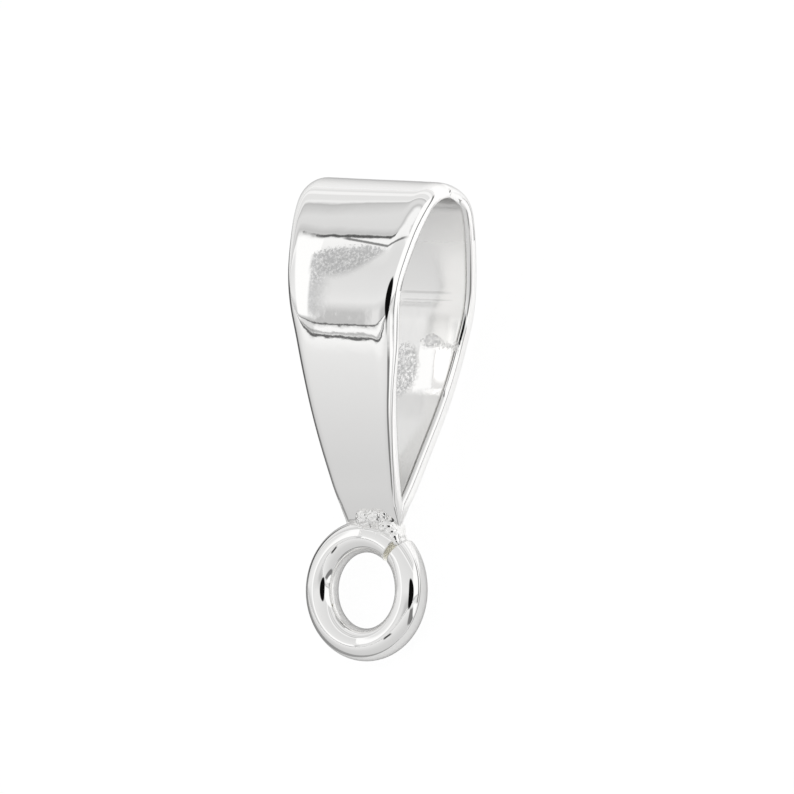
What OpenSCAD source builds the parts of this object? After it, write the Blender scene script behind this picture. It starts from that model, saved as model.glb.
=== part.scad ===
// Folded bail finding. A tapered strip of sheet silver is bent into a teardrop loop, and a ring of round
// wire is soldered under the foot, where the strip's two ends meet.
// It lies on its back. Z = 0 is the surface under it, the long axis runs along Y with the fold toward +Y,
// the strip's width runs along X, and the origin is under the middle of the whole finding.

/* [Folded band] */
// Height of the fold's crest above the ring's centre, along the long axis
crest_height = 12.74; // [12.6:0.02:13]
// Height of the loop's deepest place above the ring's centre
belly_height = 9.1; // [9:0.05:9.2]
// Outer depth of the loop from front to back at its deepest place
loop_depth = 4.68; // [4.5:0.02:4.8]
// Outer radius of the loop's sides above the deepest place
shoulder_radius = 4.6; // [4.5:0.02:4.8]
// Outer radius of the loop's sides below the deepest place
flank_radius = 11.3; // [10.8:0.1:11.8]
// Lean of each straight leg toward the other, in degrees
leg_angle = 22.5; // [22:0.1:23]
// Thickness of the sheet in the middle of the strip
sheet = 0.54; // [0.46:0.02:0.6]
// Width of the strip at the fold
crest_width = 5.3; // [5:0.1:5.4]
// Width of the strip at the foot
foot_width = 1.84; // [1.7:0.02:2]
// Softness of the strip's outer edges at the foot, as a share of that at the fold
foot_softness = 0.65; // [0.5:0.05:1]

/* [Foot] */
// Height of the foot's underside above the ring's centre, inside the ring's wire
foot_height = 1.95; // [1.85:0.05:2]
// Height at which the two ends start to be ground off toward the foot
toe_height = 3.2; // [3:0.05:3.4]
// Depth of the foot from front to back, both ends together
foot_depth = 0.2; // [0.1:0.05:0.4]

/* [Ring] */
// Diameter of the ring's wire
wire = 1.02; // [0.9:0.02:1.1]
// Outer diameter of the ring
ring_outer = 4.4; // [4.3:0.02:4.5]
// Width of the open cut at the ring's seam
seam_gap = 0.15; // [0.1:0.01:0.3]
// Place of the cut, in degrees clockwise from the ring's top seen from the front
seam_place = 40; // [35:1:50]
// Distance that the band sits to the right of the ring's middle
band_shift = 0.15; // [0:0.05:0.2]

/* [Hidden] */

// Straight pieces in each of the loop's arcs, and in each leg and toe
ARC_STEPS = 9;
LEG_STEPS = 3;
// Fineness of the ring's round wire
$fn = 64;
// Fineness of each bead of solder
BEAD_FN = 28;

half_depth = loop_depth / 2;
wire_radius = wire / 2;
ring_radius = (ring_outer - wire) / 2;

// Distance of each side arc's centre from the loop's middle plane, on the far side of it
shoulder_offset = shoulder_radius - half_depth;
flank_offset = flank_radius - half_depth;

// Radius and centre height of the fold's arc, which both shoulder arcs run into smoothly
crest_rise = crest_height - belly_height;
fold_radius = (pow(shoulder_offset, 2) + pow(crest_rise, 2) - pow(shoulder_radius, 2))
    / (2 * (crest_rise - shoulder_radius));
fold_center = crest_height - fold_radius;
// Angle above the belly at which a shoulder arc ends and the fold's arc begins
fold_start = atan2(fold_center - belly_height, shoulder_offset);

// Lean of the long axis out of the surface at rest, where the back leg and the ring's wire both touch it
rest_span = norm([flank_offset, belly_height + ring_radius]);
rest_lean = asin((flank_radius - wire_radius) / rest_span) - atan(flank_offset / (belly_height + ring_radius));
// Rise of the ring's centre above the surface at rest
rest_rise = ring_radius * sin(rest_lean) + wire_radius;
// Reach from the ring's centre to the fold and to the ring's end, along the surface at rest
fold_reach = fold_center * cos(rest_lean) + fold_radius;
ring_reach = ring_radius * cos(rest_lean) + wire_radius;
rest_middle = (fold_reach - ring_reach) / 2;

// Angle that the seam's cut takes out of the ring
seam_angle = 2 * asin(seam_gap / 2 / ring_radius);

// Developed length of the outer face from the crest to the end of each arc, of the leg and of the toe
fold_end = fold_radius * (90 - fold_start) * PI / 180;
shoulder_end = fold_end + shoulder_radius * fold_start * PI / 180;
flank_end = shoulder_end + flank_radius * leg_angle * PI / 180;
leg_top = [flank_radius * cos(leg_angle) - flank_offset, belly_height - flank_radius * sin(leg_angle)];
leg_end = flank_end + (leg_top[1] - toe_height) / cos(leg_angle);
toe_end = leg_end + (toe_height - foot_height) / cos(leg_angle);

// Width of the strip. Each row is [share of the way up from foot to crest, share of the way from the
// foot's width to the crest's].
WIDTH_ROWS = [
    [0, 0],
    [0.1, 0.14],
    [0.25, 0.285],
    [0.4, 0.39],
    [0.55, 0.52],
    [0.7, 0.67],
    [0.82, 0.815],
    [0.91, 0.935],
    [0.96, 0.99],
    [1, 1]
];

// Soft outer edge of the strip at the fold. Each row is [distance in from the edge, drop below the face].
EDGE_ROWS = [
    [0.45, 0],
    [0.31, 0.03],
    [0.17, 0.11],
    [0.06, 0.21],
    [0, 0.31]
];

// Beads of solder that fill the corner between foot and ring. Each row is [across, back, up, radius].
SOLDER_BEADS = [
    [-0.3, -0.24, 2.22, 0.28],
    [0.25, -0.28, 2.25, 0.3],
    [0.1, 0.28, 2.2, 0.28],
    [0.8, -0.12, 1.95, 0.3],
    [1.02, -0.06, 1.72, 0.3]
];

// Stations along one half of the band, as developed lengths from the crest
stations = concat(
    [for (i = [0:ARC_STEPS - 1]) fold_end * i / ARC_STEPS],
    [for (i = [0:ARC_STEPS - 1]) fold_end + (shoulder_end - fold_end) * i / ARC_STEPS],
    [for (i = [0:ARC_STEPS - 1]) shoulder_end + (flank_end - shoulder_end) * i / ARC_STEPS],
    [for (i = [0:LEG_STEPS - 1]) flank_end + (leg_end - flank_end) * i / LEG_STEPS],
    [for (i = [0:LEG_STEPS]) leg_end + (toe_end - leg_end) * i / LEG_STEPS]
);

// Direction that the outer face looks in at a station, in degrees above straight back. It comes level along
// the toe, which ends in a flat foot.
function facing(s) =
    s < fold_end ? 90 - s / fold_radius * 180 / PI :
    s < shoulder_end ? fold_start - (s - fold_end) / shoulder_radius * 180 / PI :
    s < flank_end ? -(s - shoulder_end) / flank_radius * 180 / PI :
    s <= leg_end ? -leg_angle :
    -leg_angle * (toe_end - s) / (toe_end - leg_end);

// Outer face at a station, as [back, up]. The toe leaves the leg's line and runs in to the foot.
function outer_face(s) =
    s < fold_end ? [0, fold_center] + fold_radius * [cos(facing(s)), sin(facing(s))] :
    s < shoulder_end ? [-shoulder_offset, belly_height] + shoulder_radius * [cos(facing(s)), sin(facing(s))] :
    s < flank_end ? [-flank_offset, belly_height] + flank_radius * [cos(facing(s)), sin(facing(s))] :
    s <= leg_end ? leg_top - (s - flank_end) * [sin(leg_angle), cos(leg_angle)] :
    outer_face(leg_end) + (s - leg_end) / (toe_end - leg_end) * ([foot_depth / 2, foot_height] - outer_face(leg_end));

function half_width(up) =
    (foot_width + (crest_width - foot_width) * lookup((up - foot_height) / (crest_height - foot_height), WIDTH_ROWS)) / 2;

// Right half of the strip's section, from the edge of its flat outer face to its inner corner, as
// [across, depth into the metal]
function right_section(half, softness) = concat(
    [for (row = EDGE_ROWS) [half - row[0] * softness, row[1] * softness]],
    [[half, sheet]]
);

// Whole section, right half first and then the left half back up to the outer face
function strip_section(half, softness) = let (right = right_section(half, softness)) concat(
    right,
    [for (i = [len(right) - 1:-1:0]) [-right[i][0], right[i][1]]]
);

// One station's section in place. Nothing passes the middle plane, where the two ends meet.
function placed_section(s) =
    let (face = outer_face(s), softness = 1 - (1 - foot_softness) * s / toe_end)
    [
        for (p = strip_section(half_width(face[1]), softness))
            [p[0], max(0, face[0] - p[1] * cos(facing(s))), face[1] - p[1] * sin(facing(s))]
    ];

// Back half of the folded strip, from the crest to the foot
module band_half() {
    count = 2 * (len(EDGE_ROWS) + 1);
    last = count * (len(stations) - 1);
    polyhedron(
        points = [for (s = stations) each placed_section(s)],
        faces = concat(
            [for (k = [1:count - 2]) [0, k, k + 1]],
            [for (k = [1:count - 2]) [last, last + k + 1, last + k]],
            [
                for (i = [0:len(stations) - 2], k = [0:count - 1], upper = [true, false])
                    let (a = count * i + k, b = count * i + (k + 1) % count)
                    upper ? [a, a + count, b + count] : [a, b + count, b]
            ]
        )
    );
}

// Folded strip, its two ends fused to each other at the foot
module band() {
    color("silver")
    translate([band_shift, 0, 0]) {
        band_half();
        mirror([0, 1, 0])
        band_half();
    }
}

// Ring of round wire, cut once at its seam
module ring() {
    color("silver")
    rotate([90, 0, 0])
    rotate([0, 0, 90 - seam_place + seam_angle / 2])
    rotate_extrude(angle = 360 - seam_angle)
    translate([ring_radius, 0])
    circle(wire_radius);
}

// Solder over the foot, running down the ring to the edge of the cut
module solder() {
    color("gainsboro")
    hull()
    for (bead = SOLDER_BEADS)
        translate([bead[0], bead[1], bead[2]])
        sphere(bead[3], $fn = BEAD_FN);
}

// The whole finding as it rests, soldered into one piece
module bail() {
    translate([-band_shift, -rest_middle, rest_rise])
    rotate([rest_lean - 90, 0, 0])
    union() {
        band();
        ring();
        solder();
    }
}

bail();
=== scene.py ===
import bmesh
import bpy
import math
from mathutils import Matrix, Vector, noise


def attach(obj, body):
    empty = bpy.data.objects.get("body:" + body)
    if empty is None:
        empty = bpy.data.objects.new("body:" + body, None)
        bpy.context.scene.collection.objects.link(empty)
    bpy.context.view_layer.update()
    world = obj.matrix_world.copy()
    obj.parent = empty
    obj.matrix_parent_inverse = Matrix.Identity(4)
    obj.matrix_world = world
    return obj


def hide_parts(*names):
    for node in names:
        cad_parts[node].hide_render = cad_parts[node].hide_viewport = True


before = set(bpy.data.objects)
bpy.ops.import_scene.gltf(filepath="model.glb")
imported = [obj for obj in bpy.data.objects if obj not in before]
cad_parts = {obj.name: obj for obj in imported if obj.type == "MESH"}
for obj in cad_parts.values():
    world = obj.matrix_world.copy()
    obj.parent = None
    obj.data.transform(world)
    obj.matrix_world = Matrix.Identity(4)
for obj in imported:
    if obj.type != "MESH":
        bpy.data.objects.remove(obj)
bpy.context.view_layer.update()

# ---------------------------------------------------------------------------------------------------------
# Camera. It looks at the finding from in front and 35 degrees to its right, from far off, so the picture
# shows next to no perspective. The pieces are drawn upright around the ring's centre, in millimetres, with
# the front toward -Y, and "rest" lays them down in the frame as the finding really lies, on its back.
MM = 0.001
lean = math.radians(10.58762)
ring_rise = 0.820519
middle_reach = 5.188364
band_shift = 0.15
lay_down = lean - math.radians(90)
rest = Matrix.Scale(MM, 4) @ Matrix.Translation((-band_shift, -middle_reach, ring_rise)) \
    @ Matrix.Rotation(lay_down, 4, "X")
turn = Matrix.Rotation(lay_down, 3, "X")

side_angle = math.radians(35)
roll = math.radians(2.1)
level = Vector((math.cos(side_angle), math.sin(side_angle), 0))
upright = Vector((0, 0, 1))
to_camera = Vector((math.sin(side_angle), -math.cos(side_angle), 0))
picture_right = level * math.cos(roll) + upright * math.sin(roll)
picture_up = upright * math.cos(roll) - level * math.sin(roll)
# The picture's middle, right of and above the ring's centre, and how far off the camera stands from it
picture_middle = picture_right * 0.944 + picture_up * 6.009
camera_distance = 400

lens = bpy.data.cameras.new("camera")
lens.lens = 100
lens.sensor_width = 6.165
lens.clip_start = 0.01
lens.clip_end = 5
camera = bpy.data.objects.new("camera", lens)
bpy.context.scene.collection.objects.link(camera)
facing = Matrix((turn @ picture_right, turn @ picture_up, turn @ to_camera)).transposed().to_4x4()
camera.matrix_world = Matrix.Translation(rest @ (picture_middle + to_camera * camera_distance)) @ facing
bpy.context.scene.camera = camera
bpy.context.scene.view_settings.view_transform = "Standard"
bpy.context.scene.view_settings.look = "None"

# ---------------------------------------------------------------------------------------------------------
# Studio. A white table under a tent of white cloth. Long folds of the cloth lie along the finding's width,
# so that polished silver shows them as bands, with a thin dark seam at each fold, an open bright side and
# the dark round of the lens.


class Wire:
    """One output of a node in a tree. Sums, products and differences of wires add the Math nodes for them."""

    def __init__(self, tree, socket=None):
        self.tree = tree
        self.socket = socket

    def node(self, kind, settings=None, inputs=None, out=0):
        made = self.tree.nodes.new(kind)
        for key, value in (settings or {}).items():
            if key == "stops":
                ramp = made.color_ramp
                while len(ramp.elements) < len(value):
                    ramp.elements.new(0.5)
                for stop, (place, tone) in zip(ramp.elements, value):
                    stop.position = place
                    stop.color = (tone, tone, tone, 1)
            else:
                setattr(made, key, value)
        for key, value in (inputs or {}).items():
            if isinstance(value, Wire):
                self.tree.links.new(value.socket, made.inputs[key])
            else:
                made.inputs[key].default_value = value
        return Wire(self.tree, made.outputs[out] if made.outputs else None)

    def math(self, operation, *others):
        return self.node("ShaderNodeMath", {"operation": operation}, dict(enumerate((self, *others))))

    def __add__(self, other): return self.math("ADD", other)
    def __radd__(self, other): return self.math("ADD", other)
    def __sub__(self, other): return self.math("SUBTRACT", other)
    def __rsub__(self, other): return (self * -1.0).math("ADD", other)
    def __mul__(self, other): return self.math("MULTIPLY", other)
    def __rmul__(self, other): return self.math("MULTIPLY", other)

    def between(self, low, high):
        """0 at low and 1 at high, with a soft start and end."""
        return self.node("ShaderNodeMapRange", {"interpolation_type": "SMOOTHSTEP"},
                         {0: self, 1: low, 2: high, 3: 0.0, 4: 1.0})

    def within(self, low, low_full, high_full, high):
        """1 from low_full to high_full, and 0 outside low and high."""
        return self.between(low, low_full) * (1 - self.between(high_full, high))

    def near(self, place, core, edge):
        """1 up to core away from a place, and 0 past edge."""
        return 1 - (self - place).math("ABSOLUTE").between(core, edge)

    def part(self, axis):
        return self.node("ShaderNodeSeparateXYZ", inputs={0: self}, out=axis)

    def grey(self):
        return self.node("ShaderNodeCombineColor", inputs={0: self, 1: self, 2: self})

    def painted(self, mask, tone):
        """This colour, and a grey tone over it where the mask is 1."""
        return self.node("ShaderNodeMix", {"data_type": "RGBA"},
                         {0: mask, 6: self, 7: (tone, tone, tone, 1)}, out=2)


tent = bpy.data.worlds.new("tent")
tent.use_nodes = True
tent.node_tree.nodes.clear()
bpy.context.scene.world = tent
sky = Wire(tent.node_tree)
ray = sky.node("ShaderNodeTexCoord", out="Generated")


def along(direction):
    """Part of the ray that runs along a direction given in the upright drawing."""
    return sky.node("ShaderNodeVectorMath", {"operation": "DOT_PRODUCT"},
                    {0: ray, 1: tuple(turn @ Vector(direction).normalized())}, out="Value")


across = along((1, 0, 0))
falling = along((0, 0, -1))
round_it = along((0, 0, 1)).math("ARCTAN2", along((0, -1, 0))) * (180 / math.pi)
# Brightness of the cloth, by degrees round the finding's width from straight in front up and over
FOLDS = [
    (-70, 0.61), (-46, 0.65), (-33, 0.72), (-26.6, 0.76), (-21.6, 0.80), (-19, 0.92), (-15.9, 0.97),
    (-15.5, 0.55), (-14.2, 0.52), (-9, 0.53), (-4, 0.68), (1, 0.80), (12, 0.76), (36, 0.72), (42.4, 0.76),
    (43.6, 0.89), (47.6, 0.92), (50, 0.53), (53, 0.70), (58, 0.72), (60.5, 0.655), (63.3, 0.57), (64.8, 0.48),
    (65.6, 0.86), (67.2, 0.86), (68.6, 0.78), (79, 0.775), (81, 0.91), (88, 0.92), (91, 0.78), (94, 0.78),
    (97, 0.87),
]
folds_start, folds_span = 80, 240
cloth = sky.node("ShaderNodeValToRGB",
                 {"stops": [((place + folds_start) / folds_span, tone) for place, tone in FOLDS]},
                 {0: (round_it + folds_start) * (1 / folds_span)})
# Seams of the cloth: where each lies, its half width and how dark it is. The upper one is short.
SEAMS = [(48.9, 0.9, 0.86), (-18.2, 0.5, 0.88), (-17.4, 0.4, 0.5), (-15.4, 0.3, 0.8)]
for place, width, dark in SEAMS:
    seam = round_it.near(place, width * 0.35, width) * dark
    if place > 0:
        seam = seam * across.within(-0.600, -0.589, -0.50, -0.38)
    cloth = cloth.painted(seam, 0)
open_side = (1 - across.between(-0.5800, -0.5775)) * (across.between(-0.76, -0.64) * 0.8 + 0.2) \
    * round_it.within(-15, -12.5, 47, 49)
# Low on the right the tent is open above its skirt, and a black flag stands in its lower part
lower_part = falling.between(0.20, 0.27)
opening = across.between(0.70, 0.76) * (1 - lower_part) * round_it.between(-15, -5)
opening = opening.math("MAXIMUM", across.between(0.80, 0.85) * lower_part)
flag = across.within(0.60, 0.66, 0.80, 0.85) * falling.within(0.29, 0.36, 0.66, 0.72)
skirt = (1 - ray.part("Z").between(0.08, 0.13)) * across.between(0.5, 0.6) * (1 - lower_part) \
    * falling.between(-0.8, -0.6)
# The cloth is gathered at the left end of its lower seams, and a paler strip runs above them
gather = across.within(-0.66, -0.62, -0.592, -0.580) * round_it.within(-19.5, -18.3, -16.5, -15.3) * 0.3
pale = across.within(-0.5740, -0.561, -0.3, 0.1) * round_it.within(-15.4, -14.9, -9, 0)
for mask, tone in [(open_side, 1), (opening, 1), (pale, 0.77), (flag, 0.20), (skirt, 0.15), (gather, 0.10)]:
    cloth = cloth.painted(mask, tone)
# The lens is a dark round in the cloth, and the picture's own background stays white
glass = along(to_camera).between(math.cos(math.radians(19)), math.cos(math.radians(16)))
cloth = cloth.painted(glass, 0.004).painted(sky.node("ShaderNodeLightPath", out="Is Camera Ray"), 1)
light = sky.node("ShaderNodeBackground", inputs={"Color": cloth, "Strength": 1.04})
sky.node("ShaderNodeOutputWorld", inputs={"Surface": light})


def new_piece(name, shape):
    """An object made from a bmesh, which is used up."""
    mesh = bpy.data.meshes.new(name)
    shape.to_mesh(mesh)
    shape.free()
    piece = bpy.data.objects.new(name, mesh)
    bpy.context.scene.collection.objects.link(piece)
    return piece


def new_finish(name):
    """A material without nodes, a wire to build it with, and its object coordinates in millimetres."""
    finish = bpy.data.materials.new(name)
    finish.use_nodes = True
    finish.node_tree.nodes.clear()
    wire = Wire(finish.node_tree)
    spot = wire.node("ShaderNodeVectorMath", {"operation": "SCALE"}, {
        0: wire.node("ShaderNodeTexCoord", out="Object"), "Scale": 1 / MM})
    return finish, wire, spot


def mottled(spot, scale, detail, roughness=0.5):
    return spot.node("ShaderNodeTexNoise", inputs={
        "Vector": spot, "Scale": scale, "Detail": detail, "Roughness": roughness})


table_shape = bmesh.new()
bmesh.ops.create_grid(table_shape, x_segments=1, y_segments=1, size=0.6)
table = new_piece("table", table_shape)

paper, board, spot = new_finish("white_table")
table_x, table_y = spot.part("X"), spot.part("Y")
matt = board.node("ShaderNodeBsdfPrincipled", inputs={
    "Base Color": (0.10, 0.10, 0.10, 1), "Roughness": mottled(spot, 0.9, 3.0) * 0.1 + 0.85,
    "Specular IOR Level": 0.0, "Emission Color": (1, 1, 1, 1), "Emission Strength": 0.94})
# Painted shade only the silver sees: dark on the table to the left draws its left edge, a small dark patch
# its right
painted_shade_edge = table_x + table_y * 0.49 + 3.9
painted_shade_left = (1 - painted_shade_edge.between(-2.8, -1.8)) * (1 - table_y.between(6.5, 9.0)) \
    * (table_y.between(-5, -3) * 0.3 + 0.55)
painted_shade_right = table_x.within(6.0, 6.8, 8.8, 9.8) * (1 - table_y.between(2.5, 3.5)) * 0.6
shade = (1 - painted_shade_left) * (1 - painted_shade_right)
# Painted light only the silver sees: a glow on the table past the fold, at the right, and close to the left
# of the belly
painted_light_past_fold = table_y.between(8.5, 11) * 0.22
painted_light_at_right = table_x.between(-0.4, 0.8) * 0.32 * table_y.between(-3.2, -2.2).math(
    "MAXIMUM", table_y.between(-6.2, -5.2) * (1 - table_x.between(1.3, 2.0)))
painted_light_at_left = (1 - table_x.between(-2.5, -1.5)) * table_y.within(-1, 0.5, 8, 9) \
    * (table_y.between(4.4, 5.0) * 0.45 + 0.18)
painted_glow = painted_light_past_fold.math("MAXIMUM", painted_light_at_right).math("MAXIMUM", painted_light_at_left) + 0.16
mirrored = board.node("ShaderNodeBsdfPrincipled", inputs={
    "Base Color": (shade * 0.82).grey(), "Roughness": 0.9, "Specular IOR Level": 0.0,
    "Emission Color": (shade * painted_glow).grey(), "Emission Strength": 1.0})
board.node("ShaderNodeOutputMaterial", inputs={"Surface": board.node("ShaderNodeMixShader", inputs={
    0: board.node("ShaderNodeLightPath", out="Is Camera Ray"), 1: mirrored, 2: matt})})
table.data.materials.append(paper)

# ---------------------------------------------------------------------------------------------------------
# Folded band. One strip of sheet silver, cut to a taper at both ends, with its outer edges softened on the
# polishing wheel, bent over a rod into a teardrop loop. Its two ends are pressed together and ground off.
sheet = 0.54
crest_height = 12.74
foot_height = 1.95
# How far in the outer and the inner edges are rounded, how deep the outer ones drop, and how much less at
# the foot
soft_outer, soft_inner = 0.56, 0.17
soft_drop = 0.42
foot_softness = 0.65
# How far each long edge of the strip lies from its middle line, along its developed length from the front
# foot over the crest to the back foot. The right edge was filed back more on the front of the fold.
LEFT_EDGE = [
    (-12.2, 0.86), (-11.5, 1.07), (-10.87, 1.18), (-9.19, 1.395), (-7.54, 1.61), (-5.96, 1.835), (-4.4, 2.12),
    (-2.8, 2.44), (-1.75, 2.63), (-1.2, 2.67), (0, 2.65), (1.2, 2.65), (1.75, 2.60), (2.8, 2.41), (4.4, 2.10),
    (5.96, 1.835), (7.54, 1.60), (9.19, 1.36), (10.87, 1.14), (12.2, 0.95),
]
RIGHT_EDGE = [
    (-12.2, 1.02), (-10.87, 1.235), (-9.19, 1.485), (-7.54, 1.72), (-6.35, 1.89), (-5.1, 1.975),
    (-4.1, 2.045), (-3.1, 2.14), (-2.0, 2.24), (-1.0, 2.42), (0, 2.57), (1.2, 2.66), (1.75, 2.62),
    (2.8, 2.43), (4.4, 2.13), (5.96, 1.85), (7.54, 1.64), (9.19, 1.42), (10.87, 1.20), (12.2, 0.98),
]
# Where the toe starts and ends, and how far it is ground in
toe_start, toe_end = 10.77, 12.13
toe_tuck = 0.17
# The outer face is crowned: how far in from the edges, and by how much at the right and the left one
crown_reach, crown_right, crown_left = 1.15, 0.010, 0.006
# Traces of handwork: how far from the crest the sheet is bent hardest, how much thinner it is there, and how
# far the crest leans left, stands up and tilts. Then how uneven the sheet is, and how much the front twists.
crest_reach, crest_thinning = 3, 0.08
crest_left, crest_up, crest_tilt = 0.07, 0.03, 0.018
unevenness = 0.003
twist = 0.013
# Bends of each half, from the crest: the developed length at which each one ends, and its radius
FRONT_BENDS = [(1.393, 1.4), (3.681, 8.74), (5.295, 3.7), (10.029, 17.5), (20, 1e9)]
BACK_BENDS = [(1.527, 1.4), (4.071, 15.34), (5.685, 3.7), (8.869, 11.77), (20, 1e9)]
STEP = 0.01


def bent(bends):
    """Reach from the fold's middle plane, height and facing of a half's outer face, stepped from the crest.
    Each bend eases into the next."""
    ease, past_toe = 0.07, 12.4
    rows, reach, up, face = [], 0.0, crest_height, math.radians(90)
    for index in range(round(past_toe / STEP)):
        rows.append((reach, up, face))
        bend = 1 / bends[0][1]
        for (end, radius), (_, following) in zip(bends, bends[1:]):
            bend += (1 / following - 1 / radius) / (1 + math.exp((end - index * STEP) / ease))
        face -= bend * STEP
        reach += math.sin(face) * STEP
        up -= math.cos(face) * STEP
    return rows


front_half, back_half = bent(FRONT_BENDS), bent(BACK_BENDS)


def lie_at(rows, place):
    """Reach, height and facing at a developed length from the crest."""
    low = int(place / STEP)
    return [a + (b - a) * (place / STEP - low) for a, b in zip(rows[low], rows[low + 1])]


def smooth_step(value, low, high):
    share = max(0.0, min(1.0, (value - low) / (high - low)))
    return share * share * (3 - 2 * share)


def edge_at(edge, place):
    """Distance of an edge from the middle line, its corners smoothed over half a millimetre."""
    end, nearby = 12.19, (-0.3, -0.15, 0, 0.15, 0.3)
    total = 0
    for near in nearby:
        at = max(-end, min(end, place + near))
        for (a, wide), (b, narrow) in zip(edge, edge[1:]):
            if a <= at < b:
                total += wide + (narrow - wide) * (at - a) / (b - a)
    return total / len(nearby)


def front_right_edge(away):
    """How wide and how deep the front's right edge is softened, and how round it is inside. It is softest
    beside the belly, and crisper down the leg."""
    wide = 1 + 0.28 * smooth_step(away, 3.0, 6.0) - 0.63 * smooth_step(away, 6.0, 8.6)
    deep = 1.12 + 0.23 * smooth_step(away, 4.0, 5.6) - 0.35 * smooth_step(away, 6.0, 7.6)
    inside = 0.8 - 0.5 * smooth_step(away, 3.6, 5.6) + 0.5 * smooth_step(away, 6.2, 7.6)
    return wide, deep, inside


def rubbed_border(x, away):
    """Depth of a border, hardly to be felt, down the left of the belly. It sinks a little more below it."""
    slope, limit = 0.0195, 0.31
    border = max(0.0, -x - 0.94 + 0.12 * (1 - smooth_step(away, 3.1, 4.0)))
    border = slope * border ** 2 if border < limit else slope * limit * (2 * border - limit)
    sink = 0.014 * smooth_step(-x, 1.0, 1.6) * smooth_step(away, 5.1, 6.1) * (1 - smooth_step(away, 6.1, 8.5))
    return border * smooth_step(away, 2.0, 3.0) * (1 - smooth_step(away, 6.2, 9.0)) + sink


# The strip's section with its four edges rounded, drawn out along the strip's length in rows. This blank is
# deeper than the sheet, so that its rounded corners stay apart, and every point is set to size afterwards.
# The margin is slack for telling a rounded corner's points from the others.
blank = bmesh.new()
blank_half, blank_deep = 2.65, 1
margin = 0.02
ROWS = 480
corners = [blank.verts.new((x, -toe_end, -depth)) for x, depth in
           ((-blank_half, 0), (blank_half, 0), (blank_half, blank_deep), (-blank_half, blank_deep))]
blank.faces.new(corners)
for ends, soft, segments in [(corners[2:], soft_inner, 6), (corners[:2], soft_outer, 12)]:
    bmesh.ops.bevel(blank, geom=ends, offset=soft, segments=segments, profile=0.5, affect="VERTICES",
                    material=-1)
flat_edges = [edge for edge in blank.edges if edge.calc_length() > 2]
bmesh.ops.subdivide_edges(blank, edges=flat_edges, cuts=23)
bmesh.ops.spin(blank, geom=blank.faces[:] + blank.edges[:] + blank.verts[:], cent=(0, 0, 0), axis=(0, 0, 1),
               dvec=(0, 2 * toe_end / ROWS, 0), angle=0, steps=ROWS, use_duplicate=False)
bmesh.ops.recalc_face_normals(blank, faces=blank.faces)
# The material finds its place on the flat strip by this attribute: across, along and into the metal
strip_at = blank.verts.layers.float_vector.new("strip_at")
for v in blank.verts:
    side, place, depth = v.co.x, v.co.y, -v.co.z
    away = abs(place)
    wide, deep, inside = 1.0, 1.0, 1.0
    if side > 0:
        wide, deep, inside = front_right_edge(away) if place < 0 else (1.0, 0.75, 1.4)
    softness = 1 - (1 - foot_softness) * away / toe_end
    width = edge_at(RIGHT_EDGE if side > 0 else LEFT_EDGE, place)
    inward = blank_half - abs(side)
    if inward < soft_outer + margin:
        x = width - inward * softness * wide
    else:
        # the flat face's points crowd toward its edges
        share = (abs(side) / (blank_half - soft_outer)) ** 0.8
        x = share * (width - soft_outer * softness * wide)
    x = math.copysign(x, side)
    if depth < soft_outer + margin:
        depth *= soft_drop / soft_outer * softness * deep
        crown = max(0.0, 1 - (width - abs(x)) / crown_reach)
        depth += (crown_right if x > 0 else crown_left) * crown ** 2
        if place < 0:
            depth += rubbed_border(x, away)
    else:
        # the inner edges run out where the two ends meet
        met = min(1, lie_at(front_half, away)[0] / sheet) if away > 9 else 1
        inside *= max(0.0, met * 2 - 1.3) / 0.7
        depth = sheet - (blank_deep - depth) * inside
        if inward < soft_inner + margin:
            x = math.copysign(width - inward * inside, side)
    v[strip_at] = (x, place, depth)
    reach, up, face_angle = lie_at(back_half if place > 0 else front_half, away)
    if away > toe_start:
        share = (away - toe_start) / (toe_end - toe_start)
        reach -= toe_tuck * share ** 2
        up += (foot_height - lie_at(front_half, toe_end)[1]) * share
        face_angle *= 1 - share ** 2
    near_crest = max(0.0, 1 - away / crest_reach) ** 2
    depth *= 1 - crest_thinning * near_crest
    # where the two ends meet, they share what depth there is
    depth *= min(1, reach / math.cos(face_angle) / sheet)
    still = max(0.0, min(1.0, (9.0 - away) / 2))
    depth -= noise.noise(Vector((x * 0.5, place * 0.45, depth * 2))) * unevenness * still
    depth += twist * max(x, -0.88) * smooth_step(-place, 0.8, 2.2) * (1 - smooth_step(-place, 3.0, 4.7))
    y = max(0.002, reach - depth * math.cos(face_angle))
    z = up - depth * math.sin(face_angle)
    v.co = (x + band_shift - crest_left * near_crest, y if place > 0 else -y,
            z + (crest_up - crest_tilt * x) * near_crest)
bmesh.ops.remove_doubles(blank, verts=blank.verts, dist=1e-4)
bmesh.ops.recalc_face_normals(blank, faces=blank.faces)
for face in blank.faces:
    face.smooth = True
bmesh.ops.transform(blank, matrix=rest, verts=blank.verts)
for v in blank.verts:
    # the back is rubbed flat where it lies on the table
    v.co.z = max(v.co.z, 0.0)
band = new_piece("band", blank)

polished, metal, spot = new_finish("polished_silver")
peel = mottled(spot, 1.6, 2.0)
ripple = mottled(spot, 5.0, 2.0)
grain = mottled(spot, 11.0, 3.0, 0.6)
strip_place = metal.node("ShaderNodeAttribute", {"attribute_name": "strip_at"}, out="Vector")
place_x = strip_place.part("X")
front_s = strip_place.part("Y") * -1.0
back_s = front_s * -1.0
deep_in = strip_place.part("Z").between(0.46, 0.52)
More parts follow.
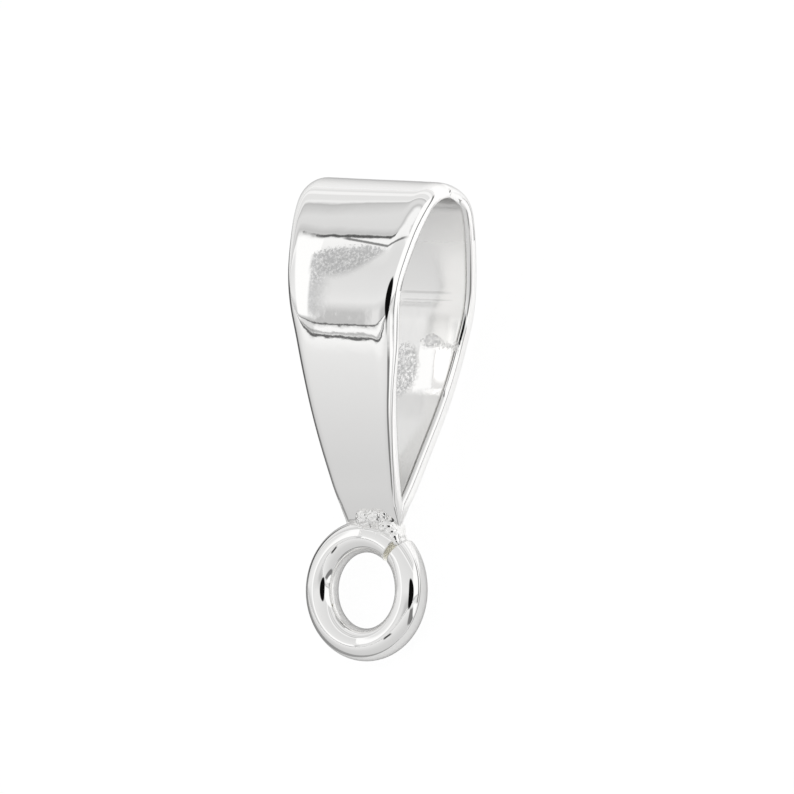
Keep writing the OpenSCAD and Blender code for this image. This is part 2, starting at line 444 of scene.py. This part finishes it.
# On the front of the belly the wheel left a rubbed patch: a wedge that narrows to the right, and a strip
# down its left side, speckled above and smooth below
uneven = front_s + grain * 0.4 - 0.2
from_middle = place_x - 0.6
from_left = place_x + 0.5
wedge_top = from_middle * from_middle * 0.09 + 2.98
wedge_foot = 4.06 - from_left * from_left * 0.24
wedge = (uneven - wedge_top).between(-0.05, 0.12) * (1 - (uneven - wedge_foot).between(-0.2, 0.15)) \
    * place_x.between(-1.3, -1.12)
rubbed = wedge.math("MAXIMUM", place_x.within(-1.2, -1.08, -1.0, -0.2) * uneven.within(3.6, 4.0, 5.0, 5.5))
speckle = 3.0 - uneven.between(3.9, 4.5) * 2.3
# A painted reflection: a thin dark line painted above the wedge, which bends up at its right end
reflection_line_place = (place_x * 0.13 + 2.81).math("MINIMUM", 3.005 - (place_x - 1.5) * 0.75) - grain * 0.04
lip = front_s.near(reflection_line_place, 0.02, 0.06) * place_x.within(-0.35, -0.05, 1.9, 2.1)
# The inside was never polished as bright. Its back half has a rubbed hollow low down and two torn patches,
# each given by its middle across and along the strip, its narrowness in both, and how ragged it is in both
inner = deep_in * back_s.between(-0.5, 0.5)
ragged = grain * 0.5 - 0.25
hollow = inner * (back_s + ragged).between(6.0, 6.3) * (1 - (back_s + ragged * 0.3).between(7.55, 7.85))
TORN_PATCHES = [(-0.2, 7.0, 1.75, 1.05, 0.9, 1.0), (0.72, 6.02, 2.3, 4.4, 0.8, 0.6)]
torn = 0.0
for middle_x, middle_s, narrow_x, narrow_s, ragged_x, ragged_s in TORN_PATCHES:
    torn_x = (place_x - middle_x + ragged * ragged_x) * narrow_x
    torn_s = (back_s - middle_s + ragged * ragged_s) * narrow_s
    torn = (inner * (1 - (torn_x * torn_x + torn_s * torn_s).between(0.55, 1.15))).math("MAXIMUM", torn)
# Painted shade: two thin dark reflection lines across it, and darker tone above, below and right of the
# hollow
line_s = back_s + ragged * 0.1
lines = line_s.near(4.24, 0.02, 0.07).math("MAXIMUM", line_s.near(4.52, 0.01, 0.05)) \
    * inner * place_x.within(-0.6, -0.2, 0.9, 1.6) * 0.6
upper_right = back_s.within(4.9, 5.3, 6.0, 6.2) * place_x.within(0.3, 0.7, 1.2, 1.5) * 0.7
dull = back_s.between(4.5, 5.4) * 0.19 + back_s.between(7.6, 7.9) * 0.35 + upper_right
dull = dull * inner * (1 - hollow)
fold_inside = deep_in * (1 - front_s.math("ABSOLUTE").between(2.0, 3.6))
# Painted reflections: the ring, of the same silver, has two short dark marks painted at its lower right and
# its upper left: where the middle of each lies, its half length and its slope
SCRATCHES = [(1.04, -6.637, 0.21, 0.60), (-1.10, -4.08, 0.19, 0.80)]
scratched = 0.0
for at_x, at_y, long, slope in SCRATCHES:
    from_x = spot.part("X") - at_x
    from_y = spot.part("Y") - at_y
    lengthwise = from_x * math.cos(slope) + from_y * math.sin(slope)
    crosswise = from_y * math.cos(slope) - from_x * math.sin(slope)
    scratched = crosswise.near(0.0, 0.012, 0.035) * lengthwise.near(0.0, long * 0.5, long) + scratched
height_map = peel + ripple * 0.12 + grain * (rubbed * speckle * 0.27 + torn * 5.0 + 0.02) \
    + hollow * (place_x - 0.3).math("MAXIMUM", 0.0) * 10.0
relief = metal.node("ShaderNodeBump", inputs={"Strength": 1.0, "Distance": 1.6e-6, "Height": height_map})
# Base colour: the wear, with painted shade inside the loop and painted dark reflection lines and marks over
# it
worn = metal.node("ShaderNodeMix", {"data_type": "RGBA"}, {
    0: dull.math("MAXIMUM", lines), 6: (0.962, 0.958, 0.95, 1), 7: (0.66, 0.658, 0.65, 1)}, out=2)
worn = worn.painted(
    (rubbed * ((grain - 0.5) * speckle + 0.8)).math("MAXIMUM", torn * (grain * 4.0 - 1.4)), 0.56)
worn = worn.painted((lip * 0.78).math("MAXIMUM", scratched), 0.06)
roughness = rubbed * 0.08 + deep_in * (1 - hollow * 0.7) * 0.09 + fold_inside * 0.2 + grain * 0.03 + 0.012
silver = metal.node("ShaderNodeBsdfPrincipled", inputs={
    "Base Color": worn, "Metallic": 1.0, "Roughness": roughness, "Specular Tint": (0.6, 0.6, 0.6, 1),
    "Normal": relief})
metal.node("ShaderNodeOutputMaterial", inputs={"Surface": silver})
band.data.materials.append(polished)
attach(band, "root")
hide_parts("bail")

# ---------------------------------------------------------------------------------------------------------
# Ring. A jump ring of round drawn wire, bent to a circle and cut once with fine shears. The two cut ends
# stay a hair apart, at the upper right, and one stands a little proud of the other.
wire_radius = 0.51
ring_radius = 1.69
gap = 0.14
seam_place = math.radians(40)
# How far one cut end stands proud, over what angle the wire runs out to it, and how round the rims are
proud, proud_reach = 0.08, 0.45
rim_radius = 0.04
loop = bmesh.new()
start = math.radians(90) - seam_place - gap / 2 / ring_radius
bmesh.ops.create_circle(loop, cap_ends=True, radius=wire_radius, segments=64)
bmesh.ops.translate(loop, vec=(ring_radius, 0, 0), verts=loop.verts)
bmesh.ops.rotate(loop, verts=loop.verts, cent=(0, 0, 0), matrix=Matrix.Rotation(-start, 3, "Y"))
bmesh.ops.spin(loop, geom=loop.faces[:] + loop.edges[:] + loop.verts[:], cent=(0, 0, 0), axis=(0, 1, 0),
               angle=2 * math.pi - gap / ring_radius, steps=220, use_duplicate=False)
bmesh.ops.recalc_face_normals(loop, faces=loop.faces)
for v in loop.verts:
    from_cut = start - math.atan2(v.co.z, v.co.x)
    if from_cut > -0.01:
        v.co.y += proud * math.exp(-(from_cut / proud_reach) ** 2)
# The two cut ends are the only faces with many corners
cut_ends = [face for face in loop.faces if len(face.verts) > 8]
for face in cut_ends:
    face.material_index = 1
rims = [edge for face in cut_ends for edge in face.edges]
bmesh.ops.bevel(loop, geom=rims, offset=rim_radius, segments=4, profile=0.5, affect="EDGES", material=-1)
for face in loop.faces:
    face.smooth = len(face.verts) < 9
bmesh.ops.transform(loop, matrix=rest, verts=loop.verts)
ring = new_piece("ring", loop)

sheared, metal, spot = new_finish("sheared_silver")
tear = mottled(spot, 14.0, 3.0)
silver = metal.node("ShaderNodeBsdfPrincipled", inputs={
    "Base Color": (0.98, 0.965, 0.90, 1), "Metallic": 1.0, "Roughness": tear * 0.2 + 0.2,
    "Normal": metal.node("ShaderNodeBump", inputs={"Strength": 1.0, "Distance": 1.5e-5, "Height": tear})})
metal.node("ShaderNodeOutputMaterial", inputs={"Surface": silver})
ring.data.materials.append(polished)
ring.data.materials.append(sheared)
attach(ring, "root")
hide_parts("bail")

# ---------------------------------------------------------------------------------------------------------
# Solder. Hard silver solder, melted in the corner between the strip's foot and the ring. It froze rough on
# the front, and ran in a smooth tongue down the wire's right shoulder to the edge of the cut.
SOLDER_BEADS = [
    # across, back, up, and the bead's half sizes
    (0.10, -0.29, 2.27, 0.40, 0.26, 0.30),
    (0.52, -0.31, 2.31, 0.40, 0.26, 0.30),
    (0.86, -0.24, 2.02, 0.32, 0.28, 0.26),
    (1.04, -0.14, 1.86, 0.28, 0.34, 0.26),
    (1.18, -0.10, 1.70, 0.24, 0.36, 0.26),
    (1.26, -0.06, 1.56, 0.20, 0.36, 0.20),
    (0.40, 0.24, 2.12, 0.50, 0.26, 0.24),
    (0.98, 0.10, 1.93, 0.30, 0.28, 0.26),
]
melt = bmesh.new()
for x, y, z, *sizes in SOLDER_BEADS:
    bmesh.ops.create_icosphere(melt, subdivisions=4, radius=1,
                               matrix=Matrix.Translation((x, y, z)) @ Matrix.Diagonal((*sizes, 1)))
# A core just inside the ring's wire, from its right shoulder over its top, that the beads flow into
core_start, core_sweep = math.radians(54), math.radians(62)
core_inset = 0.012
core = bmesh.ops.create_circle(melt, cap_ends=True, radius=wire_radius - core_inset, segments=48)["verts"]
bmesh.ops.translate(melt, vec=(ring_radius, 0, 0), verts=core)
bmesh.ops.rotate(melt, verts=core, cent=(0, 0, 0), matrix=Matrix.Rotation(-core_start, 3, "Y"))
disc = core[0].link_faces[0]
bmesh.ops.spin(melt, geom=[disc, *disc.edges, *disc.verts], cent=(0, 0, 0), axis=(0, -1, 0), angle=core_sweep,
               steps=40, use_duplicate=False)
# A wedge that fills the strip's foot: half width, half depth and height of its top and of its underside
WEDGE = {True: (0.98, 0.56, 2.80), False: (0.90, 0.09, 1.96)}
for v in bmesh.ops.create_cube(melt, size=1)["verts"]:
    wide, deep, up = WEDGE[v.co.z > 0]
    v.co = (band_shift + math.copysign(wide, v.co.x), math.copysign(deep, v.co.y), up)
bmesh.ops.recalc_face_normals(melt, faces=melt.faces)
draft = new_piece("melt", melt)
skin = draft.modifiers.new("skin", "REMESH")
skin.mode = "VOXEL"
skin.voxel_size = 0.026
flow = draft.modifiers.new("flow", "SMOOTH")
flow.factor = 0.5
flow.iterations = 6
bpy.context.view_layer.update()
fused = bpy.data.meshes.new_from_object(draft.evaluated_get(bpy.context.evaluated_depsgraph_get()))
lump = bmesh.new()
lump.from_mesh(fused)
melt_mesh = draft.data
bpy.data.objects.remove(draft)
for leftover in (melt_mesh, fused):
    bpy.data.meshes.remove(leftover)
lump.normal_update()
# The crumbs stand around the middle of the front
crumb_middle, crumb_reach, crumb_height = Vector((0.36, -0.45, 2.28)), 0.85, 0.055
for v in lump.verts:
    rough = max(0.0, 1 - (v.co - crumb_middle).length / crumb_reach)
    crumbs = noise.fractal(v.co * 5.5, 0.7, 2.0, 4)
    v.co += v.normal * (crumb_height * crumbs * min(1.0, rough * 2.2) + 0.004 * noise.noise(v.co * 3))
for face in lump.faces:
    face.smooth = True
bmesh.ops.transform(lump, matrix=rest, verts=lump.verts)
solder = new_piece("solder", lump)

frozen, metal, spot = new_finish("silver_solder")
pits = mottled(spot, 7.0, 4.0)
silver = metal.node("ShaderNodeBsdfPrincipled", inputs={
    "Base Color": (0.955, 0.95, 0.94, 1), "Metallic": 1.0, "Roughness": pits * 0.14 + 0.04,
    "Normal": metal.node("ShaderNodeBump", inputs={"Strength": 1.0, "Distance": 4e-6, "Height": pits})})
metal.node("ShaderNodeOutputMaterial", inputs={"Surface": silver})
solder.data.materials.append(frozen)
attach(solder, "root")
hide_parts("bail")
